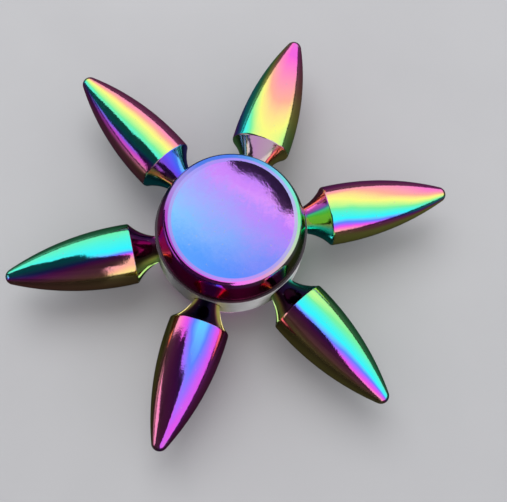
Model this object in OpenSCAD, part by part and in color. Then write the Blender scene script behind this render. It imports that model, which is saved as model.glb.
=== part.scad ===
// Six-armed fidget spinner: bullet-shaped arms screwed into a hub ring, a shielded ball bearing
// pressed into the ring, and two finger caps clamped together through the bearing.
// Millimetres. The spin axis is Z, the origin is under it at the lowest point, and arm 1 is along +X.

/* [Overall] */
// Diameter of the circle through the six arm tips
tip_circle_d = 73; // [70:0.5:76]
// Thickness over both finger caps
total_h = 17.4; // [16.4:0.1:18.4]

/* [Arms] */
// Largest diameter of an arm
arm_d = 9.8; // [9:0.1:10.4]
// Distance from the spin axis to the arm's back edge
arm_back_r = 16; // [15.6:0.1:16.6]
// Distance from the spin axis to the arm's widest place
arm_widest_r = 18; // [17.2:0.1:19]
// Radius of the arm's rounded tip
arm_tip_r = 1.3; // [1:0.05:1.6]
// Diameter of the arm's neck where it seats on the hub ring
neck_d = 4.1; // [3.8:0.05:4.3]
// Radius of the hollow flare between the neck and the back edge
flare_r = 7.3; // [6.8:0.1:9]
// Diameter of the arm's threaded stud
stud_d = 3; // [2.5:0.1:3]
// Length of the arm's threaded stud
stud_l = 4; // [3:0.1:4.2]

/* [Hub ring] */
// Outer diameter of the hub ring
ring_d = 24.4; // [24:0.1:25]
// Height of the hub ring
ring_h = 6.2; // [5.8:0.1:6.6]
// Width of the chamfer on the ring's outer edges
ring_chamfer = 0.05; // [0.05:0.05:0.5]

/* [Finger caps] */
// Outer diameter of a finger cap
cap_d = 23.6; // [23:0.1:24]
// Running gap between a cap and the hub ring
cap_gap = 0.25; // [0.2:0.01:0.4]
// Radius of the cap's barrel-shaped wall, seen from the side
cap_wall_r = 12.5; // [11:0.5:20]
// Radius that rounds the outside of the cap's rim
cap_round = 0.7; // [0.4:0.05:0.9]
// Radius that rounds the rim into the thumb dish
lip_round = 1.1; // [0.8:0.1:1.4]
// Depth of the thumb dish below its own edge
dish_depth = 2; // [1.2:0.1:2.4]
// Diameter of the screw that joins the two caps
cap_screw_d = 4; // [3:0.1:4.4]

/* [Bearing] */
// Bore of the bearing
bearing_bore = 6.35; // [6.35]
// Outer diameter of the bearing
bearing_od = 12.7; // [12.7]
// Width of the bearing
bearing_w = 4.762; // [4.762]
// Diameter of a bearing ball
ball_d = 1.5875; // [1.5875]

/* [Hidden] */

$fn = 96;
arm_count = 6;
ball_count = 10;
mid_z = total_h / 2;

// Screw threads are drawn as plain ridges of this pitch and depth
pitch = 0.5;
thread_depth = 0.3;
edge_break = 0.08;

// Gap left between two parts that fit closely
close_gap = 0.02;

// Arm: each neck ends on a flat spot face cut into the ring's wall
spot_depth = 0.4;
spot_margin = 0.2;
stud_end_gap = 0.3;
seat_x = ring_d / 2 - spot_depth;
spot_r = neck_d / 2 + spot_margin;
stud_hole_l = stud_l + stud_end_gap;

// The arm's side is one arc that is level at the widest place and runs smoothly into the tip's arc
arm_tip_x = tip_circle_d / 2;
arm_r = arm_d / 2;
tip_centre = [0, arm_tip_x - arm_tip_r];
side_l = tip_centre.y - arm_widest_r;
side_r = (side_l * side_l + arm_r * arm_r - arm_tip_r * arm_tip_r) / (2 * (arm_r - arm_tip_r));
side_centre = [arm_r - side_r, arm_widest_r];
side_end = atan2(tip_centre.y - side_centre.y, tip_centre.x - side_centre.x);
side_start = -asin((arm_widest_r - arm_back_r) / side_r);
back_edge_r = side_centre.x + side_r * cos(side_start);

// Bearing sections, measured from its centre
half_w = bearing_w / 2;
ball_r = ball_d / 2;
ball_gap = 0.03;
ball_path_r = (bearing_bore + bearing_od) / 4;
groove_r = 1.04 * ball_r;
groove_shift = groove_r - ball_r - ball_gap;
half_land_gap = 0.45;
inner_land_r = ball_path_r - half_land_gap;
outer_land_r = ball_path_r + half_land_gap;
race_chamfer = 0.15;

// Shields sit in steps of the outer race and each is held by a snap ring with an opening
shield_z = 1.55;
shield_t = 0.2;
shield_gap = 0.11;
shield_step = 0.54;
shield_hole_r = inner_land_r + shield_gap;
shield_seat_r = outer_land_r + shield_step;
snap_t = 0.3;
snap_depth = 0.2;
snap_overlap = 0.4;
snap_inner_r = shield_seat_r - snap_overlap;
snap_opening = 30;

// Cage: heights from the bearing's middle, and the gaps to the races and the balls
cage_top = 0.35;
cage_bottom = -1.25;
cage_gap = 0.14;
pocket_gap = 0.035;

// The ring's lower lip stops the bearing, which is pressed in from above
lip_width = 0.45;
lip_inner_r = bearing_od / 2 - lip_width;

// Caps: shoulders clamp the inner race, and a sleeve on the lower cap takes the upper cap's screw
cap_r = cap_d / 2;
cap_base = ring_h / 2 + cap_gap;
crest = total_h / 2;
shoulder_r = inner_land_r - edge_break;
sleeve_r = bearing_bore / 2 - close_gap;
screw_r = cap_screw_d / 2 - close_gap;
sleeve_z = 1.6;
spigot_z = 1.8;
screw_depth = 3.4;
socket_depth = 3.8;

// A cap's wall is one arc, upright at the cap's base, that runs smoothly into the rim's outer round
wall_centre = [cap_r - cap_wall_r, cap_base + edge_break];
rim_rise = crest - cap_round - wall_centre.y;
wall_end = asin(rim_rise / (cap_wall_r - cap_round));
rim_outer_r = wall_centre.x + (cap_wall_r - cap_round) * cos(wall_end);

// The rim's top is a narrow flat, and its inner round ends where the dish begins
rim_flat = 0.2;
rim_inner_r = rim_outer_r - rim_flat;
lip_turn = 25;
dish_r = rim_inner_r - lip_round * sin(lip_turn);
dish_edge_z = crest - lip_round * (1 - cos(lip_turn));
dish_arc_r = (dish_r * dish_r + dish_depth * dish_depth) / (2 * dish_depth);

// Points along an arc, from one angle to another
function arc(centre, r, from, to, steps) =
    [for (i = [0:steps]) let (a = from + (to - from) * i / steps) centre + r * [cos(a), sin(a)]];

// Points along an arc of radius r from point a to point b, with its centre to the left of the way
function arc_between(a, b, r, steps) =
    let (d = b - a,
         centre = (a + b) / 2 + sqrt(r * r - d * d / 4) * [-d.y, d.x] / norm(d),
         from = atan2(a.y - centre.y, a.x - centre.x))
    arc(centre, r, from, from + 2 * asin(norm(d) / (2 * r)), steps);

// Points along the side of a ridged thread of outer radius r, from one end to the other
function thread(r, from, to) =
    let (step = sign(to - from) * pitch)
    [for (i = [0:floor(abs(to - from) / pitch) - 1])
        each [[r - thread_depth, from + i * step], [r, from + (i + 0.5) * step]]];

// Outline of a ring's section with its four corners cut off
module ring_section(inner, outer, bottom, top, cut) {
    polygon([
        [inner + cut, bottom], [outer - cut, bottom], [outer, bottom + cut], [outer, top - cut],
        [outer - cut, top], [inner + cut, top], [inner, top - cut], [inner, bottom + cut]
    ]);
}

// Half outline of an arm: radius along X, distance from the spin axis along Y
module arm_outline() {
    back_edge = [back_edge_r - edge_break, arm_back_r];
    neck_end = [neck_d / 2, seat_x];
    stud_end = seat_x - stud_l;
    polygon(concat(
        arc(tip_centre, arm_tip_r, 90, side_end, 6),
        arc(side_centre, side_r, side_end, side_start, 24),
        arc_between(back_edge, neck_end, flare_r, 12),
        thread(stud_d / 2, seat_x, stud_end),
        [[stud_d / 2 - thread_depth, stud_end], [0, stud_end]]
    ));
}

module arm(number) {
    color("mediumorchid")
    translate([0, 0, mid_z])
    rotate([0, 0, (number - 1) * 360 / arm_count])
    rotate([0, 90, 0])
    rotate_extrude() arm_outline();
}

module hub_ring() {
    color("silver")
    translate([0, 0, mid_z])
    difference() {
        rotate_extrude() difference() {
            ring_section(lip_inner_r, ring_d / 2, -ring_h / 2, ring_h / 2, ring_chamfer);
            translate([0, -half_w]) square([bearing_od / 2, ring_h]);
        }
        for (i = [0:arm_count - 1])
            rotate([0, 0, i * 360 / arm_count]) rotate([0, 90, 0]) {
                translate([0, 0, seat_x]) cylinder(r = spot_r, h = 1);
                translate([0, 0, seat_x - stud_hole_l])
                    cylinder(r = stud_d / 2 + close_gap, h = stud_hole_l + 0.1);
            }
    }
}

// Half outline of a cap above its underside: wall, rim and dish
function cap_face() = concat(
    [[cap_r - edge_break, cap_base]],
    arc(wall_centre, cap_wall_r, 0, wall_end, 8),
    arc([rim_outer_r, crest - cap_round], cap_round, wall_end, 90, 6),
    arc([rim_inner_r, crest - lip_round], lip_round, 90, 90 + lip_turn, 4),
    arc([0, dish_edge_z - dish_depth + dish_arc_r], dish_arc_r,
        -90 + asin(dish_r / dish_arc_r), -90, 12)
);

// The screw, a short spigot in the bore and the shoulder that presses on the inner race
module top_cap() {
    color("slateblue")
    translate([0, 0, mid_z])
    rotate_extrude() polygon(concat(
        cap_face(),
        [[0, -screw_depth]],
        thread(screw_r, -screw_depth, spigot_z),
        [[screw_r - thread_depth, spigot_z], [sleeve_r, spigot_z],
         [sleeve_r, half_w], [shoulder_r, half_w], [shoulder_r, cap_base]]
    ));
}

// Drawn upside down: the screw's socket, the sleeve that fills the bore and the lower shoulder
module bottom_cap() {
    color("slateblue")
    translate([0, 0, mid_z])
    rotate_extrude() mirror([0, 1]) polygon(concat(
        cap_face(),
        [[0, socket_depth], [cap_screw_d / 2, socket_depth],
         [cap_screw_d / 2, -sleeve_z], [sleeve_r, -sleeve_z],
         [sleeve_r, half_w], [shoulder_r, half_w], [shoulder_r, cap_base]]
    ));
}

module outer_race() {
    color("lightsteelblue")
    translate([0, 0, mid_z])
    rotate_extrude() difference() {
        ring_section(outer_land_r, bearing_od / 2, -half_w, half_w, race_chamfer);
        translate([ball_path_r - groove_shift, 0]) circle(groove_r);
        for (side = [0, 1]) mirror([0, side]) {
            translate([0, shield_z]) square([shield_seat_r, half_w]);
            translate([0, shield_z + shield_t])
                square([shield_seat_r + snap_depth, snap_t + close_gap]);
        }
    }
}

module inner_race() {
    color("lightsteelblue")
    translate([0, 0, mid_z])
    rotate_extrude() difference() {
        ring_section(bearing_bore / 2, inner_land_r, -half_w, half_w, race_chamfer);
        translate([ball_path_r + groove_shift, 0]) circle(groove_r);
    }
}

// Turns its children to each ball's place in the bearing
module at_ball(number) {
    translate([0, 0, mid_z])
    rotate([0, 0, (number - 1) * 360 / ball_count])
    translate([ball_path_r, 0, 0]) children();
}

// Snap-in crown cage: each ball's pocket is open at the top and closes in over the ball
module ball_cage() {
    color("goldenrod")
    difference() {
        translate([0, 0, mid_z]) rotate_extrude()
            translate([inner_land_r + cage_gap, cage_bottom])
            square([outer_land_r - inner_land_r - 2 * cage_gap, cage_top - cage_bottom]);
        for (i = [1:ball_count]) at_ball(i) sphere(r = ball_r + pocket_gap);
    }
}

module ball(number) {
    color("gainsboro") at_ball(number) sphere(r = ball_r);
}

// Shields and snap rings: side is 1 above the balls and -1 below them
module shield(side) {
    color("silver")
    translate([0, 0, mid_z + (side > 0 ? shield_z : -shield_z - shield_t)])
    rotate_extrude() translate([shield_hole_r, 0])
        square([shield_seat_r - close_gap - shield_hole_r, shield_t]);
}

module snap_ring(side) {
    color("dimgray")
    translate([0, 0, mid_z + (side > 0 ? shield_z + shield_t : -shield_z - shield_t - snap_t)])
    rotate([0, 0, snap_opening / 2])
    rotate_extrude(angle = 360 - snap_opening) translate([snap_inner_r, 0])
        square([shield_seat_r + snap_depth - close_gap - snap_inner_r, snap_t]);
}

hub_ring();
arm(1);  // arm_1
arm(2);  // arm_2
arm(3);  // arm_3
arm(4);  // arm_4
arm(5);  // arm_5
arm(6);  // arm_6
top_cap();
bottom_cap();
outer_race();
inner_race();
ball_cage();
ball(1);  // ball_1
ball(2);  // ball_2
ball(3);  // ball_3
ball(4);  // ball_4
ball(5);  // ball_5
ball(6);  // ball_6
ball(7);  // ball_7
ball(8);  // ball_8
ball(9);  // ball_9
ball(10);  // ball_10
shield(1);  // upper_shield
shield(-1);  // lower_shield
snap_ring(1);  // upper_snap_ring
snap_ring(-1);  // lower_snap_ring
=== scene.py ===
"""The looks of the six-armed fidget spinner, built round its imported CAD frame."""
import math

import bmesh
import bpy
from mathutils import Matrix, Vector


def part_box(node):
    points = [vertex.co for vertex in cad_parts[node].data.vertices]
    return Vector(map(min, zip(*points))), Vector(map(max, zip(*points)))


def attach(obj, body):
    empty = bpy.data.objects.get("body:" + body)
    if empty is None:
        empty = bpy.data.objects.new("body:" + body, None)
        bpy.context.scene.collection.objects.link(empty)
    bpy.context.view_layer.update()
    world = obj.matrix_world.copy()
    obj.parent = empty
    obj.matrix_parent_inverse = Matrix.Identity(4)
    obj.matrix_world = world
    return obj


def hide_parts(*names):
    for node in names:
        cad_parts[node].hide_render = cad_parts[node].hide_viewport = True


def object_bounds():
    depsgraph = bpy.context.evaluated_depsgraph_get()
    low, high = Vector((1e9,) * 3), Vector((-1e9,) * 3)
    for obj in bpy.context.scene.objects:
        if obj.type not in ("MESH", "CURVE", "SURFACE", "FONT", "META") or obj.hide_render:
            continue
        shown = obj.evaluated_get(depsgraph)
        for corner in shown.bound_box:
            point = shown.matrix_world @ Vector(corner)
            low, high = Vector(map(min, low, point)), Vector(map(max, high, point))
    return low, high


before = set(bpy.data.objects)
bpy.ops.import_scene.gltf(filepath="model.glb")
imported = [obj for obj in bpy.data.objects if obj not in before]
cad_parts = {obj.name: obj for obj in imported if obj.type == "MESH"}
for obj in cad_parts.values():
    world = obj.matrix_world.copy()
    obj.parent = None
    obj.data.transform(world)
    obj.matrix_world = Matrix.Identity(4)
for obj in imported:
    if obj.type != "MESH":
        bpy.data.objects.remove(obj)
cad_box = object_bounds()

MM = 0.001
low, high = cad_box
MID_Z = (low.z + high.z) / 2

# Sizes that the frame gives, in millimetres
ARM_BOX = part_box("arm_1")
ARM_TIP_X = ARM_BOX[1].x / MM
ARM_R = (ARM_BOX[1].y - ARM_BOX[0].y) / 2 / MM
STUD_END_X = ARM_BOX[0].x / MM
RING_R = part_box("hub_ring")[1].y / MM
HALF_RING_H = (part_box("hub_ring")[1].z - MID_Z) / MM
CAP_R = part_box("top_cap")[1].x / MM
CREST_Z = (high.z - MID_Z) / MM
SCREW_END_Z = (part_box("top_cap")[0].z - MID_Z) / MM
BEARING_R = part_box("outer_race")[1].x / MM
HALF_BEARING_W = (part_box("outer_race")[1].z - MID_Z) / MM

# Counts and sizes inside the frame's boxes, in millimetres, the same as in the CAD source
ARM_COUNT = 6
ARM_STEP = 360 / ARM_COUNT
BALL_COUNT = 10
BORE_R = 3.175
SEAT_X = RING_R - 0.4
SPOT_R = 2.25
NECK_R = 2.05
FLARE_R = 7.3
ARM_BACK_X = 16.0
ARM_WIDEST_X = 18.0
ARM_TIP_R = 1.3
STUD_R = 1.5
STUD_HOLE_R = STUD_R + 0.02
STUD_HOLE_END_X = 7.5
THREAD_DEPTH = 0.3
THREAD_PITCH = 0.5
RING_CHAMFER = 0.05
LIP_WIDTH = 0.45
CAP_BASE_Z = HALF_RING_H + 0.25
CAP_WALL_R = 12.5
CAP_ROUND = 0.7
LIP_ROUND = 1.1
LIP_TURN = 25  # degrees
RIM_FLAT = 0.2
DISH_DEPTH = 2.0
SHOULDER_R = 4.2325
SLEEVE_R = BORE_R - 0.02
SCREW_R = 1.98
SOCKET_R = 2.0
SPIGOT_Z = 1.8
SLEEVE_END_Z = -1.6
SOCKET_END_Z = 3.8
EDGE_BREAK = 0.08

# Fineness of the meshes: faces round a piece, and the edge angle in degrees that stays sharp
ARM_FACES = 128
HUB_FACES = 192
CUTTER_FACES = 64
SHARP_ANGLE = 32

# Plating colours, as the eye sees them under white light, 0 to 255
PALETTE = {
    "magenta": (228, 84, 232), "hot_pink": (255, 108, 212), "pink": (255, 136, 190),
    "peach": (255, 176, 150), "straw": (255, 226, 140), "yellow": (252, 252, 130),
    "lime": (200, 252, 140), "green": (118, 242, 160), "aqua": (84, 246, 212),
    "cyan": (50, 244, 255), "sky": (100, 192, 255), "blue": (96, 128, 255),
    "violet": (164, 104, 255),
    # Tones of the arms' necks, and a near black that paints shade and dark reflections
    "khaki": (176, 184, 70), "dusty_lavender": (184, 166, 208), "painted_shade_black": (26, 20, 34),
    # Dish of a cap
    "azure": (92, 172, 255), "pale_sky": (132, 197, 255), "periwinkle": (154, 180, 254),
    "mauve": (174, 158, 252), "soft_orchid": (200, 132, 250), "cornflower": (86, 130, 250),
    "slate_blue": (128, 140, 248), "amethyst": (164, 138, 248), "orchid": (186, 126, 250),
    "pale_orchid": (226, 146, 252),
    # Rim and wall of a cap
    "pale_lilac": (190, 168, 250), "deep_blue": (80, 124, 232), "light_blue": (100, 172, 230),
    "seafoam": (122, 234, 214), "mint": (124, 236, 160), "silver_green": (200, 206, 186),
    "rose_lilac": (220, 150, 204), "bright_orchid": (248, 114, 240), "plum": (206, 78, 206),
    "dusk": (178, 74, 196), "dusty_lilac": (168, 140, 220), "crimson": (246, 18, 146),
    "hot_crimson": (255, 60, 190), "maroon": (214, 12, 128), "wine": (164, 48, 104),
    "olive": (140, 152, 76), "leaf": (120, 206, 120), "pearl": (216, 206, 226),
    "powder_blue": (120, 160, 250), "purple": (150, 60, 200),
}

# The plating is a film whose colour depends on its thickness, and the colours come in this order.
# Each step is a place in the order, which starts again at 8. No list below goes past LAST_PLACE.
FILM = [(0, "magenta"), (0.5, "hot_pink"), (1, "pink"), (2, "peach"), (2.5, "straw"),
        (3, "yellow"), (3.6, "lime"), (4.3, "green"), (5, "aqua"), (6, "cyan"), (6.5, "sky"),
        (7, "blue"), (7.5, "violet"), (8, "magenta")]
LAST_PLACE = 16

# Film places across each arm, seen from its tip: angle from straight up in degrees, positive to
# the right, and place. The underside mirrors the top. Each arm has a list for its neck, its back
# end and its tip, and the last two blend along its length.
ARM_FILM = {
    1: {
        "neck": [(-60, 5.5), (-45, 5), (-32, 3.5), (-12, 3.4), (8, 7.7), (30, 8.9), (60, 9.2)],
        "back": [(-65, 11), (-52, 10), (-42, 8), (-36, 7.2), (-27, 6), (-12, 4.9), (0, 3.8),
                 (12, 3.2), (25, 2.6), (34, 1.6), (48, 0.4), (75, 0.2)],
        "tip": [(-70, 11), (-60, 8), (-52, 5.5), (-38, 4.2), (-25, 3), (-11, 2), (4, 1),
                (24, 0.6), (42, 0.5), (75, 0.1)],
    },
    2: {
        "neck": [(-60, 10.8), (-45, 10.2), (-35, 10.6), (-22, 10.4), (3, 10), (15, 9.4), (28, 10.4),
                 (38, 10.8), (50, 12)],
        "back": [(-60, 3.8), (-45, 3.8), (-32, 3.3), (-10, 3), (5, 3.1), (18, 3.5), (30, 4.4),
                 (40, 5.3), (55, 6.6), (75, 8)],
        "tip": [(-75, 1), (-50, 0.8), (-32, 0.3), (0, 0.3), (22, 0.8), (35, 1.4), (50, 3),
                (65, 4.3)],
    },
    3: {
        "neck": [(-60, 7.2), (-32, 6.5), (-15, 7), (0, 7.7), (10, 8.2), (20, 8.9), (40, 10.3),
                 (52, 11.5), (62, 14)],
        "back": [(-50, 0.8), (-38, 1), (-25, 2), (-12, 3), (0, 3.8), (15, 5), (25, 5.5),
                 (32, 6.8), (38, 7.8), (50, 9), (60, 10), (85, 9.3)],
        "tip": [(-40, 0.8), (-30, 1), (-16, 2), (-5, 3), (8, 3.8), (22, 5), (32, 5.6), (42, 7.2),
                (55, 7.8), (65, 8.7)],
    },
    4: {
        "neck": [(-60, 10), (-45, 8.2), (-25, 7.8), (0, 9), (22, 9.2), (42, 11), (60, 11.6)],
        "back": [(-75, 4.3), (-38, 4.4), (-22, 4.9), (-5, 5.6), (9, 6.2), (15, 7.3), (19, 8.4),
                 (28, 9.9), (38, 10), (55, 10.7), (75, 10.4)],
        "tip": [(-75, 4.4), (-40, 4.5), (-18, 5), (0, 5.8), (15, 6.6), (35, 8), (55, 10)],
    },
    5: {
        "neck": [(-62, 10.6), (-48, 10.9), (-34, 9), (-20, 7.3), (20, 7.3), (36, 9), (50, 10.8)],
        "back": [(-60, 11), (-48, 10), (-40, 9.2), (-31, 8.5), (-20, 7.9), (-8, 7), (4, 6.4),
                 (16, 6.5), (30, 7.3), (42, 8), (60, 8.6), (85, 8.9)],
        "tip": [(-62, 10.8), (-46, 9.2), (-30, 9), (0, 8.6), (12, 7.8), (32, 8), (46, 7.8),
                (60, 8.6)],
    },
    6: {
        "neck": [(-60, 11.6), (-46, 11), (-32, 9), (-20, 7.8), (15, 7.5), (35, 5.4), (60, 5.1)],
        "back": [(-60, 10.8), (-48, 10.4), (-34, 9.4), (-25, 8.6), (-15, 7.1), (-8, 6.1),
                 (2, 5.6), (12, 4.8), (20, 4), (30, 3.7), (46, 4.1), (70, 4.4)],
        "tip": [(-60, 10.8), (-46, 10.2), (-30, 8.9), (-20, 8.1), (-9, 7.7), (-2, 7), (8, 6),
                (25, 5.1), (38, 4.4), (70, 4.4)],
    },
}

# Stretch of an arm over which its bands change from the back end's to the tip's, in millimetres
BANDS_TURN_X = (17, 33)

# Tone over part of each arm's neck: colour, how much of it, and its first and last angle, with
# a fade of some degrees to each side of them. On arms 4 to 6 the tone is a near black, a painted dark
# reflection.
NECK_TONE_AND_SHADE = {1: ("khaki", 0.6, -39, 2), 2: ("dusty_lavender", 0.7, -39, 39),
             3: ("sky", 0.2, -39, 39), 4: ("painted_shade_black", 0.84, -39, 46), 5: ("painted_shade_black", 0.96, -44, 44),
             6: ("painted_shade_black", 0.94, -42, 42)}
NECK_TONE_FADE = 9

# Painted shade over one side of an arm past an angle, which fades in over the second: how much, and
# angles
SIDE_PAINTED_SHADE = {3: (0.35, 33, 39)}

# How scuffed the tip of each arm is. On arm 2 the strong scuff is also a painted silvery highlight on
# the tip.
TIP_SCUFFS_AND_SHEEN = {1: 0.4, 2: 0.9, 3: 0.4, 4: 0.4, 5: 0.4, 6: 0.4}

# Where a cap's plating changes, as distances from its rings' middle in millimetres. The rings sit a
# little off the axis. Each step fades from its first distance to its second. The wear on the
# crest starts, is full, begins to fade, and ends.
RINGS_MIDDLE = (0.05, -0.14)
LIP_STEP = (9.45, 9.65)
RIM_STEP = (9.95, 10.2)
WALL_STEP = (10.8, 11.05)
CREST_WEAR = (9.9, 10.0, 10.1, 10.3)

# Plating across a cap's dish: place from -1 to 1 along one direction, and colour, in the left and
# the right part of the dish as the camera sees it
DISH_LEFT = [(-1, "azure"), (-0.45, "pale_sky"), (0, "periwinkle"), (0.45, "mauve"),
             (0.8, "soft_orchid"), (1, "soft_orchid")]
DISH_RIGHT = [(-1, "cornflower"), (-0.4, "slate_blue"), (0, "amethyst"), (0.4, "orchid"),
              (0.65, "pale_orchid"), (1, "orchid")]

# Plating round a cap's rim and wall: angle from +X in degrees, anticlockwise, and colour
RIM_BANDS = [(-180, "dusk"), (-160, "dusk"), (-131, "plum"), (-102, "bright_orchid"),
             (-72, "rose_lilac"), (-42, "silver_green"), (-12, "mint"), (18, "seafoam"),
             (48, "light_blue"), (78, "deep_blue"), (108, "deep_blue"), (138, "dusty_lilac"),
             (165, "dusk"), (180, "dusk")]
WALL_BANDS = [(-180, "hot_crimson"), (-165, "hot_crimson"), (-145, "maroon"), (-120, "maroon"),
              (-98, "crimson"), (-72, "wine"), (-45, "olive"), (0, "leaf"), (40, "pearl"),
              (80, "pearl"), (120, "powder_blue"), (145, "purple"), (165, "hot_crimson"),
              (180, "hot_crimson")]

# The plating's finish: orange peel and specks, sized in millimetres, and what shows through wear
PEEL_WAVES = 1.5
PEEL_GRAIN = 0.25
GRAIN_SHARE = 0.46
PEEL_DEPTH = 0.017
SPECKS = 0.4
SPECK_DULLNESS = 0.6
PLATING_ROUGHNESS = 0.055
WORN_METAL = (0.5, 0.46, 0.5, 1)

# Bare steels, as linear colours, and the near black painted on the hub ring's end faces as shade
RING_STEEL = (0.93, 0.92, 0.92, 1)
BEARING_STEEL = (0.6, 0.6, 0.62, 1)
SHIELD_STEEL = (0.5, 0.5, 0.51, 1)
BALL_STEEL = (0.72, 0.72, 0.74, 1)
CAGE_STEEL = (0.42, 0.39, 0.34, 1)
SPRING_STEEL = (0.2, 0.2, 0.21, 1)
END_PAINTED_SHADE = (0.07, 0.06, 0.07, 1)

# Studio, with directions as azimuths from +X and elevations in degrees, and distances in metres
FLOOR_HALF = 1.5
HANDS_FLAG = [(249, 75), (235, 75), (208, 73), (190, 70.5), (174, 68.5), (162, 66), (151, 62),
              (143, 56.5), (147, 48), (158, 40), (200, 35), (261, 38), (262, 50), (265, 60),
              (268, 69), (259, 73)]
HANDS_DISTANCE = 0.165
BODY_FLAG = [(151, 0), (144, 0), (143, 10), (141, 24), (140, 34), (146, 50), (200, 55),
             (255, 50), (258, 38), (260, 20), (262, -1), (226, -1), (199, -1), (197, 18),
             (178, 28), (158, 18)]
BODY_DISTANCE = 0.5
KEY_DIRECTION = (95, 62)
KEY_DISTANCE = 0.6
KEY_SIZE = 0.5
KEY_WATTS = 2.2
CAMERA_AZIMUTH = -22.93
CAMERA_ELEVATION = 73.25
CAMERA_ROLL = 10.99
CAMERA_DISTANCE = 0.1718
CAMERA_TARGET = (3.07, -3.43, 8.7)  # millimetres, like the lens and its sensor
CAMERA_LENS = 75.3
SENSOR_WIDTH = 36


def linear(name):
    """A palette colour as the linear RGBA that Blender's sockets take."""
    channels = [c / 255 for c in PALETTE[name]]
    return [c / 12.92 if c <= 0.04045 else ((c + 0.055) / 1.055) ** 2.4 for c in channels] + [1]


# ---------------------------------------------------------------- outlines and meshes

def arc(centre, radius, start, end, steps):
    """Points along an arc, from one angle in degrees to another."""
    angles = [math.radians(start + (end - start) * i / steps) for i in range(steps + 1)]
    return [(centre[0] + radius * math.cos(a), centre[1] + radius * math.sin(a)) for a in angles]


def arc_between(a, b, radius, steps):
    """Points along an arc from a to b, with its centre to the left of the way."""
    dx, dy = b[0] - a[0], b[1] - a[1]
    length = math.hypot(dx, dy)
    away = math.sqrt(radius ** 2 - length ** 2 / 4) / length
    centre = ((a[0] + b[0]) / 2 - dy * away, (a[1] + b[1]) / 2 + dx * away)
    start = math.degrees(math.atan2(a[1] - centre[1], a[0] - centre[0]))
    return arc(centre, radius, start, start + 2 * math.degrees(math.asin(length / 2 / radius)), steps)


def rounded(before, corner, after, steps=6):
    """Points of a small smooth bend between two points that replaces the corner between them."""
    bend = []
    for i in range(steps + 1):
        t = i / steps
        weights = ((1 - t) ** 2, 2 * t * (1 - t), t ** 2)
        bend.append(tuple(sum(w * p[k] for w, p in zip(weights, (before, corner, after)))
                          for k in (0, 1)))
    return bend


def thread(radius, start, end):
    """Rounded ridges of a screw thread, as (radius, distance) points from start to end."""
    way = math.copysign(THREAD_PITCH, end - start)
    ridge = [(-THREAD_DEPTH, 0.06), (-0.04, 0.4), (0, 0.5), (-0.04, 0.6), (-THREAD_DEPTH, 0.94)]
    count = math.floor(abs(end - start) / THREAD_PITCH)
    return [(radius + dr, start + (i + t) * way) for i in range(count) for dr, t in ridge]


def without_repeats(points):
    """The outline with repeated points left out."""
    kept = [points[0]]
    for p in points[1:]:
        if math.dist(p, kept[-1]) > 1e-4:
            kept.append(p)
    return kept


def lathe(name, outline, faces_round, closed=False):
    """A turned piece: the outline's (radius, distance) points in millimetres, turned round Z."""
    outline = without_repeats(outline)
    mesh_maker = bmesh.new()
    rows = []
    for radius, distance in outline:
        spots = 1 if radius < 1e-6 else faces_round
        angles = [2 * math.pi * i / faces_round for i in range(spots)]
        rows.append([mesh_maker.verts.new((radius * MM * math.cos(a), radius * MM * math.sin(a),
                                           distance * MM)) for a in angles])
    for a, b in list(zip(rows, rows[1:])) + ([(rows[-1], rows[0])] if closed else []):
        for i in range(faces_round):
            j = (i + 1) % faces_round
            corners = [a[i % len(a)], a[j % len(a)], b[j % len(b)], b[i % len(b)]]
            mesh_maker.faces.new(list(dict.fromkeys(corners)))
    bmesh.ops.recalc_face_normals(mesh_maker, faces=mesh_maker.faces)
    mesh = bpy.data.meshes.new(name)
    mesh_maker.to_mesh(mesh)
    mesh_maker.free()
    return add_piece(name, mesh)


def add_piece(name, mesh):
    """Puts a mesh in the scene, smooth but for its sharp edges."""
    for face in mesh.polygons:
        face.use_smooth = True
    mesh.set_sharp_from_angle(angle=math.radians(SHARP_ANGLE))
    piece = bpy.data.objects.new(name, mesh)
    bpy.context.scene.collection.objects.link(piece)
    return piece


# ---------------------------------------------------------------- the pieces' outlines

def arm_outline():
    """An arm's outline from its stud's end to its tip: radius, and distance from the spin axis."""
    tip = (0, ARM_TIP_X - ARM_TIP_R)
    length = tip[1] - ARM_WIDEST_X
    side_r = (length ** 2 + ARM_R ** 2 - ARM_TIP_R ** 2) / (2 * (ARM_R - ARM_TIP_R))
    side = (ARM_R - side_r, ARM_WIDEST_X)
    join = math.degrees(math.atan2(tip[1] - side[1], tip[0] - side[0]))
    back = -math.degrees(math.asin((ARM_WIDEST_X - ARM_BACK_X) / side_r))
    corner = (side[0] + side_r * math.cos(math.radians(back)), ARM_BACK_X)
    flare = arc_between(corner, (NECK_R, SEAT_X), FLARE_R, 28)[::-1]
    sides = arc(side, side_r, back, join, 64)
    edge = rounded(flare[-2], corner, sides[1])
    return ([(0, STUD_END_X), (STUD_R - THREAD_DEPTH, STUD_END_X)]
            + thread(STUD_R, STUD_END_X, SEAT_X) + [(STUD_R - THREAD_DEPTH, SEAT_X)]
            + rounded((NECK_R - 0.05, SEAT_X), (NECK_R, SEAT_X), flare[1], 3)
            + flare[2:-2] + edge + sides[2:] + arc(tip, ARM_TIP_R, join, 90, 14))


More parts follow.
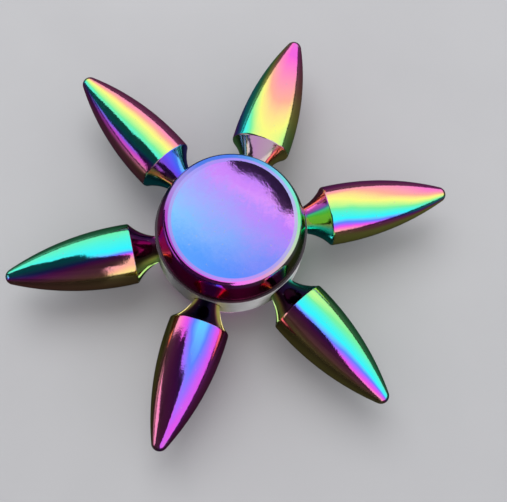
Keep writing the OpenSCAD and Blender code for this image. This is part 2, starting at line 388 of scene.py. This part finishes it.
def cap_face():
    """A cap's outline above its underside, from the dish's middle to the base of the wall."""
    wall = (CAP_R - CAP_WALL_R, CAP_BASE_Z + EDGE_BREAK)
    rise = CREST_Z - CAP_ROUND - wall[1]
    wall_end = math.degrees(math.asin(rise / (CAP_WALL_R - CAP_ROUND)))
    outer_r = wall[0] + (CAP_WALL_R - CAP_ROUND) * math.cos(math.radians(wall_end))
    inner_r = outer_r - RIM_FLAT
    turn = math.radians(LIP_TURN)
    dish_r = inner_r - LIP_ROUND * math.sin(turn)
    dish_z = CREST_Z - LIP_ROUND * (1 - math.cos(turn))
    arc_r = (dish_r ** 2 + DISH_DEPTH ** 2) / (2 * DISH_DEPTH)
    dish = arc((0, dish_z - DISH_DEPTH + arc_r), arc_r,
               -90, -90 + math.degrees(math.asin(dish_r / arc_r)), 48)
    dish[0] = (0, dish[0][1])
    lip = arc((inner_r, CREST_Z - LIP_ROUND), LIP_ROUND, 90 + LIP_TURN, 90, 10)
    return (dish[:-2] + rounded(dish[-2], dish[-1], lip[1], 5) + lip[2:]
            + arc((outer_r, CREST_Z - CAP_ROUND), CAP_ROUND, 90, wall_end, 16)
            + arc(wall, CAP_WALL_R, wall_end, 0, 28)
            + rounded((CAP_R, CAP_BASE_Z + EDGE_BREAK), (CAP_R, CAP_BASE_Z),
                      (CAP_R - EDGE_BREAK, CAP_BASE_Z), 4))


def shoulder():
    """The clamping shoulder under a cap, from the underside to the sleeve or spigot."""
    return [(SHOULDER_R, CAP_BASE_Z), (SHOULDER_R, HALF_BEARING_W + 0.05),
            (SHOULDER_R - 0.05, HALF_BEARING_W), (SLEEVE_R, HALF_BEARING_W)]


def top_cap_outline():
    """The upper cap with its shoulder, its spigot and its screw."""
    root = SCREW_R - THREAD_DEPTH
    return (cap_face() + shoulder()
            + [(SLEEVE_R, SPIGOT_Z + 0.05), (SLEEVE_R - 0.05, SPIGOT_Z), (root, SPIGOT_Z)]
            + thread(SCREW_R, SPIGOT_Z, SCREW_END_Z)
            + [(root, SCREW_END_Z), (0, SCREW_END_Z)])


def bottom_cap_outline():
    """The lower cap with its shoulder, its sleeve and the screw's socket, drawn upside down."""
    return (cap_face() + shoulder()
            + [(SLEEVE_R, SLEEVE_END_Z), (SOCKET_R, SLEEVE_END_Z), (SOCKET_R, SOCKET_END_Z),
               (0, SOCKET_END_Z)])


def ring_outline():
    """The hub ring's section, with the lower lip that stops the bearing."""
    h, c = HALF_RING_H, RING_CHAMFER
    lip_r = BEARING_R - LIP_WIDTH
    return [(lip_r + c, -h), (RING_R - c, -h), (RING_R, c - h), (RING_R, h - c), (RING_R - c, h),
            (BEARING_R, h), (BEARING_R, -HALF_BEARING_W), (lip_r, -HALF_BEARING_W),
            (lip_r, c - h)]


# ---------------------------------------------------------------- shader building blocks

def wire(tree, socket, value):
    """Sets a socket's value, or links another node's output to it."""
    if isinstance(value, bpy.types.NodeSocket):
        tree.links.new(value, socket)
    else:
        socket.default_value = value


def node(tree, kind, inputs=None, **settings):
    """A new node, with its settings and its inputs by name."""
    made = tree.nodes.new(kind)
    for key, value in settings.items():
        setattr(made, key, value)
    for key, value in (inputs or {}).items():
        wire(tree, made.inputs[key], value)
    return made


def calc(tree, operation, *values):
    """One step of arithmetic on numbers or outputs."""
    made = node(tree, "ShaderNodeMath", operation=operation)
    for socket, value in zip(made.inputs, values):
        wire(tree, socket, value)
    return made.outputs[0]


def span(tree, value, start, end, smooth=True):
    """0 below start, 1 above end, and a smooth or straight change between."""
    made = node(tree, "ShaderNodeMapRange", {"Value": value, "From Min": start, "From Max": end},
                interpolation_type="SMOOTHSTEP" if smooth else "LINEAR")
    return made.outputs[0]


def blend(tree, factor, a, b, mode="MIX"):
    """Two colours mixed by a factor, plainly or in another blend mode."""
    made = node(tree, "ShaderNodeMix", data_type="RGBA", blend_type=mode)
    for index, value in ((0, factor), (6, a), (7, b)):
        wire(tree, made.inputs[index], value)
    return made.outputs[2]


def noise(tree, place_at, size, detail=2.0, roughness=0.5):
    """Smooth noise around 0.5 whose waves are about size millimetres long."""
    made = node(tree, "ShaderNodeTexNoise", {"Vector": place_at, "Scale": 1 / (size * MM),
                                             "Detail": detail, "Roughness": roughness})
    return made.outputs[0]


def ramp(tree, value, stops):
    """The colour at a value, from (value, colour) stops in rising order."""
    made = node(tree, "ShaderNodeValToRGB")
    start, end = stops[0][0], stops[-1][0]
    wire(tree, made.inputs[0], span(tree, value, start, end, smooth=False))
    elements = made.color_ramp.elements
    elements[1].position = 1
    for at, colour in stops[1:-1]:
        elements.new((at - start) / (end - start)).color = colour
    elements[0].color, elements[len(stops) - 1].color = stops[0][1], stops[-1][1]
    return made.outputs[0]


def named_ramp(tree, value, stops):
    """The colour at a value, from (value, colour name) stops."""
    return ramp(tree, value, [(at, linear(name)) for at, name in stops])


def film_place(tree, angle, stops):
    """The film's place in the colour order at an angle in degrees."""
    greys = [(at, [place / LAST_PLACE] * 3 + [1]) for at, place in stops]
    return calc(tree, "MULTIPLY", ramp(tree, angle, greys), LAST_PLACE)


def film_colour(tree, place):
    """The colour of the plating film at a place in the order."""
    return named_ramp(tree, calc(tree, "MODULO", place, FILM[-1][0]), FILM)


def fade_between(tree, value, steps):
    """1 between the middle two of four rising steps, fading to 0 at the outer two."""
    return calc(tree, "MULTIPLY", span(tree, value, steps[0], steps[1]),
                calc(tree, "SUBTRACT", 1, span(tree, value, steps[2], steps[3])))


def around_z(tree, x, y):
    """The distance from the spin axis, and the angle round it in degrees."""
    square = calc(tree, "ADD", calc(tree, "MULTIPLY", x, x), calc(tree, "MULTIPLY", y, y))
    return (calc(tree, "SQRT", square),
            calc(tree, "MULTIPLY", calc(tree, "ARCTAN2", y, x), 180 / math.pi))


def slope(tree, x, y, direction, reach):
    """A value that rises along a direction in degrees, from 0 on the axis to 1 at reach metres."""
    way = Vector((math.cos(math.radians(direction)), math.sin(math.radians(direction)))) / reach
    return calc(tree, "ADD", calc(tree, "MULTIPLY", x, way.x), calc(tree, "MULTIPLY", y, way.y))


def start_material(name, turn=0.0):
    """A new material with a metal shader, and the outputs that most of its nodes read.

    Places are measured from the spinner's centre, on axes turned by an angle in degrees about Z."""
    material = bpy.data.materials.new(name)
    material.use_nodes = True
    tree = material.node_tree
    shader = tree.nodes["Principled BSDF"]
    shader.inputs["Metallic"].default_value = 1
    place_at = node(tree, "ShaderNodeMapping", {
        "Vector": node(tree, "ShaderNodeTexCoord").outputs["Object"],
        "Location": (0, 0, -MID_Z), "Rotation": (0, 0, -math.radians(turn))}).outputs[0]
    parts = node(tree, "ShaderNodeSeparateXYZ", {0: place_at}).outputs
    return material, tree, shader, place_at, parts


def plated_surface(tree, shader, place_at, colour, wear):
    """The finish that all plated pieces share: orange peel, fine specks, and silvery wear."""
    waves = noise(tree, place_at, PEEL_WAVES, 3)
    grain = noise(tree, place_at, PEEL_GRAIN, 2)
    height = calc(tree, "MULTIPLY_ADD", grain, GRAIN_SHARE, waves)
    bump = node(tree, "ShaderNodeBump", {"Height": height, "Strength": 1.0,
                                         "Distance": PEEL_DEPTH * MM})
    specks = span(tree, noise(tree, place_at, SPECKS, 1), 0.735, 0.77)
    dull = calc(tree, "MAXIMUM", calc(tree, "MULTIPLY", specks, SPECK_DULLNESS), wear)
    mottled = blend(tree, calc(tree, "MULTIPLY", noise(tree, place_at, 2.6, 4), 0.16), colour,
                    (1, 1, 1, 1), "SOFT_LIGHT")
    worn = blend(tree, calc(tree, "MULTIPLY", dull, 0.7), mottled, WORN_METAL)
    smear = noise(tree, place_at, 0.9, 3)
    rough = calc(tree, "MULTIPLY_ADD", smear, 0.07, PLATING_ROUGHNESS)
    wire(tree, shader.inputs["Base Color"], worn)
    wire(tree, shader.inputs["Specular Tint"], blend(tree, 0.45, (1, 1, 1, 1), worn))
    wire(tree, shader.inputs["Roughness"], calc(tree, "MULTIPLY_ADD", dull, 0.25, rough))
    wire(tree, shader.inputs["Normal"], bump.outputs[0])


# ---------------------------------------------------------------- materials

def arm_film(tree, x, angle, on_neck, number):
    """The film's place on an arm, from the neck's list on the neck and the other two ahead."""
    places = {zone: film_place(tree, angle, stops) for zone, stops in ARM_FILM[number].items()}
    along = span(tree, x, BANDS_TURN_X[0] * MM, BANDS_TURN_X[1] * MM, smooth=False)
    change = calc(tree, "SUBTRACT", places["tip"], places["back"])
    body = calc(tree, "ADD", places["back"], calc(tree, "MULTIPLY", along, change))
    return calc(tree, "ADD", calc(tree, "MULTIPLY", on_neck, places["neck"]),
                calc(tree, "MULTIPLY", calc(tree, "SUBTRACT", 1, on_neck), body))


def arm_wear(tree, place_at, x, number):
    """Wear on the edge of an arm's back end, and scuffs on its tip, which on arm 2 are strong enough
    to paint a silvery highlight.
    """
    edge = fade_between(tree, x, [(ARM_BACK_X + step) * MM for step in (-0.1, 0, 0.02, 0.2)])
    worn_edge = calc(tree, "MULTIPLY", edge, span(tree, noise(tree, place_at, 0.8, 2), 0.42, 0.7))
    near_tip = span(tree, x, (ARM_TIP_X - 3) * MM, (ARM_TIP_X - 1) * MM)
    scuff = calc(tree, "MULTIPLY", near_tip, span(tree, noise(tree, place_at, 1.6, 3), 0.45, 0.65))
    # The scuffs on arm 2's tip are real wear and also a painted highlight
    return calc(tree, "MAXIMUM", worn_edge, calc(tree, "MULTIPLY", scuff, TIP_SCUFFS_AND_SHEEN[number]))


def arm_plating(number):
    """Rainbow plating on one arm: bands along it that change from its back end to its tip."""
    material, tree, shader, place_at, (x, y, z) = start_material(f"arm_{number}_plating",
                                                                 ARM_STEP * (number - 1))
    tilt = calc(tree, "ARCTAN2", y, calc(tree, "ABSOLUTE", z))
    drift = calc(tree, "MULTIPLY_ADD", noise(tree, place_at, 5, 2), 10, -5)
    angle = calc(tree, "MULTIPLY_ADD", tilt, 180 / math.pi, drift)
    on_neck = calc(tree, "LESS_THAN", x, (ARM_BACK_X + 0.02) * MM)
    colour = film_colour(tree, arm_film(tree, x, angle, on_neck, number))
    # Painted dark reflection: on arms 4 to 6 the neck's top is blended toward near black; on arms 1
    # to 3 the tone is the plating's own colour
    tone, amount, first, last = NECK_TONE_AND_SHADE[number]
    within = fade_between(tree, angle, (first - NECK_TONE_FADE, first + NECK_TONE_FADE,
                                        last - NECK_TONE_FADE, last + NECK_TONE_FADE))
    within = calc(tree, "MULTIPLY", calc(tree, "MULTIPLY", on_neck, within), amount)
    colour = blend(tree, within, colour, linear(tone))
    # Painted shade: one side of arm 3 is blended toward near black
    if number in SIDE_PAINTED_SHADE:
        amount, first, last = SIDE_PAINTED_SHADE[number]
        side = calc(tree, "MULTIPLY", span(tree, angle, first, last), amount)
        colour = blend(tree, side, colour, linear("painted_shade_black"))
    plated_surface(tree, shader, place_at, colour, arm_wear(tree, place_at, x, number))
    return material


def cap_plating():
    """Rainbow plating on a cap: blue to violet across the dish, and a rainbow round the rim."""
    material, tree, shader, place_at, (x, y, _) = start_material("cap_plating")
    radius, turned = around_z(tree, calc(tree, "SUBTRACT", x, RINGS_MIDDLE[0] * MM),
                              calc(tree, "SUBTRACT", y, RINGS_MIDDLE[1] * MM))
    cloud = calc(tree, "MULTIPLY_ADD", noise(tree, place_at, 5, 3), 0.5, -0.25)
    mottle = calc(tree, "MULTIPLY_ADD", noise(tree, place_at, 0.7, 3, 0.7), 0.5, -0.25)
    fade = calc(tree, "ADD", slope(tree, x, y, 48, 8 * MM), calc(tree, "ADD", cloud, mottle))
    side = calc(tree, "ADD", slope(tree, x, y, -42, 9.5 * MM), cloud)
    dish = blend(tree, span(tree, side, -0.9, 0.8, smooth=False),
                 named_ramp(tree, fade, DISH_LEFT), named_ramp(tree, fade, DISH_RIGHT))
    drift = calc(tree, "MULTIPLY_ADD", noise(tree, place_at, 4, 2), 16, -8)
    turned = calc(tree, "ADD", turned, drift)
    rim = named_ramp(tree, turned, RIM_BANDS)
    lip = blend(tree, 0.3, blend(tree, 0.45, dish, rim), linear("pale_lilac"))
    colour = dish
    for step, next_colour in ((LIP_STEP, lip), (RIM_STEP, rim),
                              (WALL_STEP, named_ramp(tree, turned, WALL_BANDS))):
        beyond = span(tree, radius, step[0] * MM, step[1] * MM)
        colour = blend(tree, beyond, colour, next_colour)
    crest = fade_between(tree, radius, [step * MM for step in CREST_WEAR])
    wear = calc(tree, "MULTIPLY", crest, span(tree, noise(tree, place_at, 0.9, 2), 0.55, 0.75))
    plated_surface(tree, shader, place_at, colour, calc(tree, "MULTIPLY", wear, 0.5))
    return material


def turned_steel(name, colour, rough, lines, ends_from=1.0):
    """Bare steel with fine turning lines round the spin axis, lines millimetres apart.

    Faces farther than ends_from metres above or below the middle are polished, and painted near black
    as shade."""
    material, tree, shader, place_at, (x, y, z) = start_material(name)
    radius, _ = around_z(tree, x, y)
    section = node(tree, "ShaderNodeCombineXYZ", {0: radius, 2: z}).outputs[0]
    grooves = noise(tree, section, lines, 3, 0.7)
    blotches = noise(tree, place_at, 3, 3)
    shade = calc(tree, "MULTIPLY_ADD", grooves, 0.25, calc(tree, "MULTIPLY", blotches, 0.25))
    dark = [c * 0.72 for c in colour[:3]] + [1]
    bump = node(tree, "ShaderNodeBump", {"Height": grooves, "Strength": 1.0, "Distance": 4e-6})
    ends = span(tree, calc(tree, "ABSOLUTE", z), ends_from, ends_from + 0.02 * MM)
    steel = blend(tree, span(tree, shade, 0.1, 0.4), dark, colour)
    # Painted shade: the ring's end faces, beside the caps, take a near black base colour
    wire(tree, shader.inputs["Base Color"], blend(tree, ends, steel, END_PAINTED_SHADE))
    satin = calc(tree, "MULTIPLY_ADD", blotches, 0.15, rough)
    wire(tree, shader.inputs["Roughness"],
         calc(tree, "MULTIPLY", satin, calc(tree, "MULTIPLY_ADD", ends, -0.7, 1)))
    wire(tree, shader.inputs["Normal"], bump.outputs[0])
    # The lines spread a highlight across themselves
    shader.inputs["Anisotropic"].default_value = 0.92
    shader.inputs["Anisotropic Rotation"].default_value = 0.25
    wire(tree, shader.inputs["Tangent"],
         node(tree, "ShaderNodeTangent", direction_type="RADIAL", axis="Z").outputs[0])
    return material


def polished_steel(name, colour, rough):
    """Bare steel with a ground or tumbled finish: soft blotches and very fine grain."""
    material, tree, shader, place_at, _ = start_material(name)
    blotches = noise(tree, place_at, 0.8, 3)
    grain = noise(tree, place_at, 0.08, 2)
    dark = [c * 0.8 for c in colour[:3]] + [1]
    bump = node(tree, "ShaderNodeBump", {"Height": grain, "Strength": 1.0, "Distance": 1e-6})
    wire(tree, shader.inputs["Base Color"],
         blend(tree, span(tree, blotches, 0.3, 0.7), dark, colour))
    wire(tree, shader.inputs["Roughness"], calc(tree, "MULTIPLY_ADD", grain, 0.12, rough))
    wire(tree, shader.inputs["Normal"], bump.outputs[0])
    return material


# ---------------------------------------------------------------- building

def finish_piece(piece, material, body, cad_node):
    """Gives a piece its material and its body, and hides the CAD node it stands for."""
    piece.data.materials.append(material)
    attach(piece, body)
    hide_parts(cad_node)


def toward_arm(number):
    """The turn that lays a lathe's axis along an arm."""
    return (Matrix.Rotation(math.radians(ARM_STEP * (number - 1)), 4, "Z")
            @ Matrix.Rotation(math.radians(90), 4, "Y"))


def build_arms():
    """Six arms, each turned about its own axis and set round the hub."""
    outline = arm_outline()
    for number in range(1, ARM_COUNT + 1):
        arm = lathe(f"arm_{number}_plated", outline, ARM_FACES)
        arm.data.transform(Matrix.Translation((0, 0, MID_Z)) @ toward_arm(number))
        finish_piece(arm, arm_plating(number), "rotor", f"arm_{number}")


def build_caps():
    """The two finger caps; the lower one is the upper one's face turned over."""
    plating = cap_plating()
    top = lathe("top_cap_plated", top_cap_outline(), HUB_FACES)
    top.data.transform(Matrix.Translation((0, 0, MID_Z)))
    finish_piece(top, plating, "held_caps", "top_cap")
    bottom = lathe("bottom_cap_plated", bottom_cap_outline(), HUB_FACES)
    bottom.data.transform(Matrix.Translation((0, 0, MID_Z))
                          @ Matrix.Rotation(math.radians(180), 4, "X"))
    finish_piece(bottom, plating, "held_caps", "bottom_cap")


def build_ring():
    """The hub ring, with a spot face and a stud hole cut for each arm."""
    ring = lathe("hub_ring_turned", ring_outline(), HUB_FACES, closed=True)
    beyond = RING_R + 0.8
    hole = [(0, STUD_HOLE_END_X), (STUD_HOLE_R, STUD_HOLE_END_X), (STUD_HOLE_R, SEAT_X),
            (SPOT_R, SEAT_X), (SPOT_R, beyond), (0, beyond)]
    cutters = []
    for number in range(1, ARM_COUNT + 1):
        cutter = lathe("cutter", hole, CUTTER_FACES)
        cutter.data.transform(toward_arm(number))
        cut = ring.modifiers.new("cut", "BOOLEAN")
        cut.operation, cut.object, cut.solver = "DIFFERENCE", cutter, "EXACT"
        cutters.append(cutter)
    bpy.context.view_layer.update()
    shape = bpy.data.meshes.new_from_object(
        ring.evaluated_get(bpy.context.evaluated_depsgraph_get()))
    for scrap in cutters + [ring]:
        bpy.data.objects.remove(scrap)
    ring = add_piece("hub_ring_turned", shape)
    ring.data.transform(Matrix.Translation((0, 0, MID_Z)))
    steel = turned_steel("satin_steel", RING_STEEL, 0.46, 0.12, (HALF_RING_H - 0.04) * MM)
    finish_piece(ring, steel, "rotor", "hub_ring")


def finish_bearing():
    """The bearing stays as the CAD made it, with its own steels."""
    race = turned_steel("bearing_steel", BEARING_STEEL, 0.14, 0.05)
    ball = polished_steel("ball_steel", BALL_STEEL, 0.05)
    cage = polished_steel("cage_steel", CAGE_STEEL, 0.3)
    shield = turned_steel("shield_steel", SHIELD_STEEL, 0.26, 0.2)
    spring = polished_steel("spring_steel", SPRING_STEEL, 0.3)
    finishes = {"outer_race": race, "inner_race": race, "ball_cage": cage}
    for number in range(1, BALL_COUNT + 1):
        finishes[f"ball_{number}"] = ball
    for side in ("upper", "lower"):
        finishes[f"{side}_shield"] = shield
        finishes[f"{side}_snap_ring"] = spring
    for name, material in finishes.items():
        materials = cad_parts[name].data.materials
        materials.clear()
        materials.append(material)


# ---------------------------------------------------------------- studio

def compass(azimuth, elevation):
    """The direction at an azimuth from +X and an elevation, in degrees."""
    a, e = math.radians(azimuth), math.radians(elevation)
    return Vector((math.cos(a) * math.cos(e), math.sin(a) * math.cos(e), math.sin(e)))


def mirrored_table(tree, x, y):
    """The dark glossy table top that the plating mirrors: glossier toward one side."""
    # Painted shade: the table darkens toward azimuth 240, the camera's side, standing in for the
    # shadow and dark reflections beside the spinner
    near = span(tree, slope(tree, x, y, 240, 0.1), -0.2, 0.5)
    dark = blend(tree, near, (0.05, 0.05, 0.052, 1), (0.014, 0.012, 0.015, 1))
    matt = node(tree, "ShaderNodeBsdfDiffuse", {"Color": dark})
    left = span(tree, slope(tree, x, y, 175, 0.1), 0.3, 0.8)
    mirror = calc(tree, "MULTIPLY", node(tree, "ShaderNodeFresnel", {"IOR": 1.5}).outputs[0],
                  calc(tree, "MULTIPLY_ADD", left, 0.85, 0.15))
    gloss = node(tree, "ShaderNodeBsdfGlossy", {"Roughness": 0.06})
    return node(tree, "ShaderNodeMixShader",
                {0: mirror, 1: matt.outputs[0], 2: gloss.outputs[0]}).outputs[0]


def floor_material():
    """Pale and plain to the camera, and a dark glossy table to what the plating mirrors."""
    material, tree, shader, place_at, (x, y, _) = start_material("pale_floor")
    mottle = noise(tree, place_at, 30, 4)
    path = node(tree, "ShaderNodeLightPath")
    pale = blend(tree, mottle, (0.34, 0.34, 0.35, 1), (0.4, 0.4, 0.41, 1))
    shader.inputs["Metallic"].default_value = 0
    wire(tree, shader.inputs["Base Color"], pale)
    wire(tree, shader.inputs["Roughness"], calc(tree, "MULTIPLY_ADD", mottle, 0.1, 0.42))
    seen = node(tree, "ShaderNodeMixShader", {0: path.outputs["Is Glossy Ray"],
                                              1: shader.outputs[0],
                                              2: mirrored_table(tree, x, y)})
    # It is clear to a camera below it, and to what the lower cap's dish mirrors
    from_below = calc(tree, "MULTIPLY", node(tree, "ShaderNodeNewGeometry").outputs["Backfacing"],
                      path.outputs["Is Camera Ray"])
    radius, _ = around_z(tree, x, y)
    under_cap = calc(tree, "MULTIPLY", calc(tree, "LESS_THAN", radius, CAP_R * MM),
                     path.outputs["Is Glossy Ray"])
    clear = node(tree, "ShaderNodeBsdfTransparent")
    mixed = node(tree, "ShaderNodeMixShader", {0: calc(tree, "MAXIMUM", from_below, under_cap),
                                               1: seen.outputs[0], 2: clear.outputs[0]})
    wire(tree, tree.nodes["Material Output"].inputs["Surface"], mixed.outputs[0])
    return material


def build_floor():
    """The square floor that the spinner lies on."""
    mesh = bpy.data.meshes.new("floor")
    half = FLOOR_HALF
    mesh.from_pydata([(-half, -half, 0), (half, -half, 0), (half, half, 0), (-half, half, 0)], [],
                     [(0, 1, 2, 3)])
    floor = bpy.data.objects.new("floor", mesh)
    bpy.context.scene.collection.objects.link(floor)
    mesh.materials.append(floor_material())


def build_flag(name, outline, distance):
    """A black card that only reflections see, its outline as seen from the spinner's centre."""
    centre = Vector((0, 0, MID_Z))
    ways = [compass(*spot) for spot in outline]
    points = [centre + way * distance for way in ways]
    middle = centre + sum(ways, Vector()).normalized() * distance
    mesh = bpy.data.meshes.new(name)
    count = len(points)
    mesh.from_pydata(points + [middle], [], [(i, (i + 1) % count, count) for i in range(count)])
    flag = bpy.data.objects.new(name, mesh)
    bpy.context.scene.collection.objects.link(flag)
    flag.visible_camera = flag.visible_diffuse = flag.visible_shadow = False
    material, tree, shader, _, _ = start_material(name)
    shader.inputs["Metallic"].default_value = 0
    shader.inputs["Base Color"].default_value = (0.06, 0.055, 0.06, 1)
    shader.inputs["Roughness"].default_value = 0.9
    mesh.materials.append(material)


def build_world():
    """A bright overcast dome with a dark band at the horizon. The camera sees it as plain grey."""
    world = bpy.data.worlds.new("studio")
    bpy.context.scene.world = world
    world.use_nodes = True
    tree = world.node_tree
    up = node(tree, "ShaderNodeSeparateXYZ",
              {0: node(tree, "ShaderNodeTexCoord").outputs["Generated"]}).outputs[2]
    sky = calc(tree, "MAXIMUM", span(tree, up, 0.01, 0.09), calc(tree, "LESS_THAN", up, -0.2))
    dome = blend(tree, sky, (0.02, 0.02, 0.022, 1), (1.0, 1.0, 1.02, 1))
    path = node(tree, "ShaderNodeLightPath")
    seen = blend(tree, path.outputs["Is Camera Ray"], dome, (0.75, 0.75, 0.76, 1))
    wire(tree, tree.nodes["Background"].inputs[0], seen)
    wire(tree, tree.nodes["Background"].inputs[1], 1.0)


def build_studio():
    """Floor, sky, soft key light and the dark flags that give the plating its dark bands."""
    build_floor()
    build_world()
    build_flag("hands_flag", HANDS_FLAG, HANDS_DISTANCE)
    build_flag("body_flag", BODY_FLAG, BODY_DISTANCE)
    light = bpy.data.lights.new("soft_key", "AREA")
    light.shape, light.size, light.energy = "DISK", KEY_SIZE, KEY_WATTS
    key = bpy.data.objects.new("soft_key", light)
    key.location = compass(*KEY_DIRECTION) * KEY_DISTANCE
    key.rotation_mode = "QUATERNION"
    key.rotation_quaternion = key.location.to_track_quat("Z", "Y")
    key.visible_glossy = False
    bpy.context.scene.collection.objects.link(key)


def build_camera():
    """The camera at the photograph's viewing angle, with its slight roll."""
    roll = math.radians(CAMERA_ROLL)
    back = compass(CAMERA_AZIMUTH - 90, CAMERA_ELEVATION)
    right = compass(CAMERA_AZIMUTH, 0)
    turned = right * math.cos(roll) + back.cross(right) * math.sin(roll)
    data = bpy.data.cameras.new("camera")
    data.lens, data.sensor_width, data.clip_start = CAMERA_LENS, SENSOR_WIDTH, 0.01
    camera = bpy.data.objects.new("camera", data)
    axes = Matrix((turned, back.cross(turned), back)).transposed().to_4x4()
    spot = Vector(CAMERA_TARGET) * MM + back * CAMERA_DISTANCE
    camera.matrix_world = Matrix.Translation(spot) @ axes
    bpy.context.scene.collection.objects.link(camera)
    bpy.context.scene.camera = camera
    bpy.context.scene.view_settings.view_transform = "Standard"


build_arms()
build_caps()
build_ring()
finish_bearing()
build_studio()
build_camera()
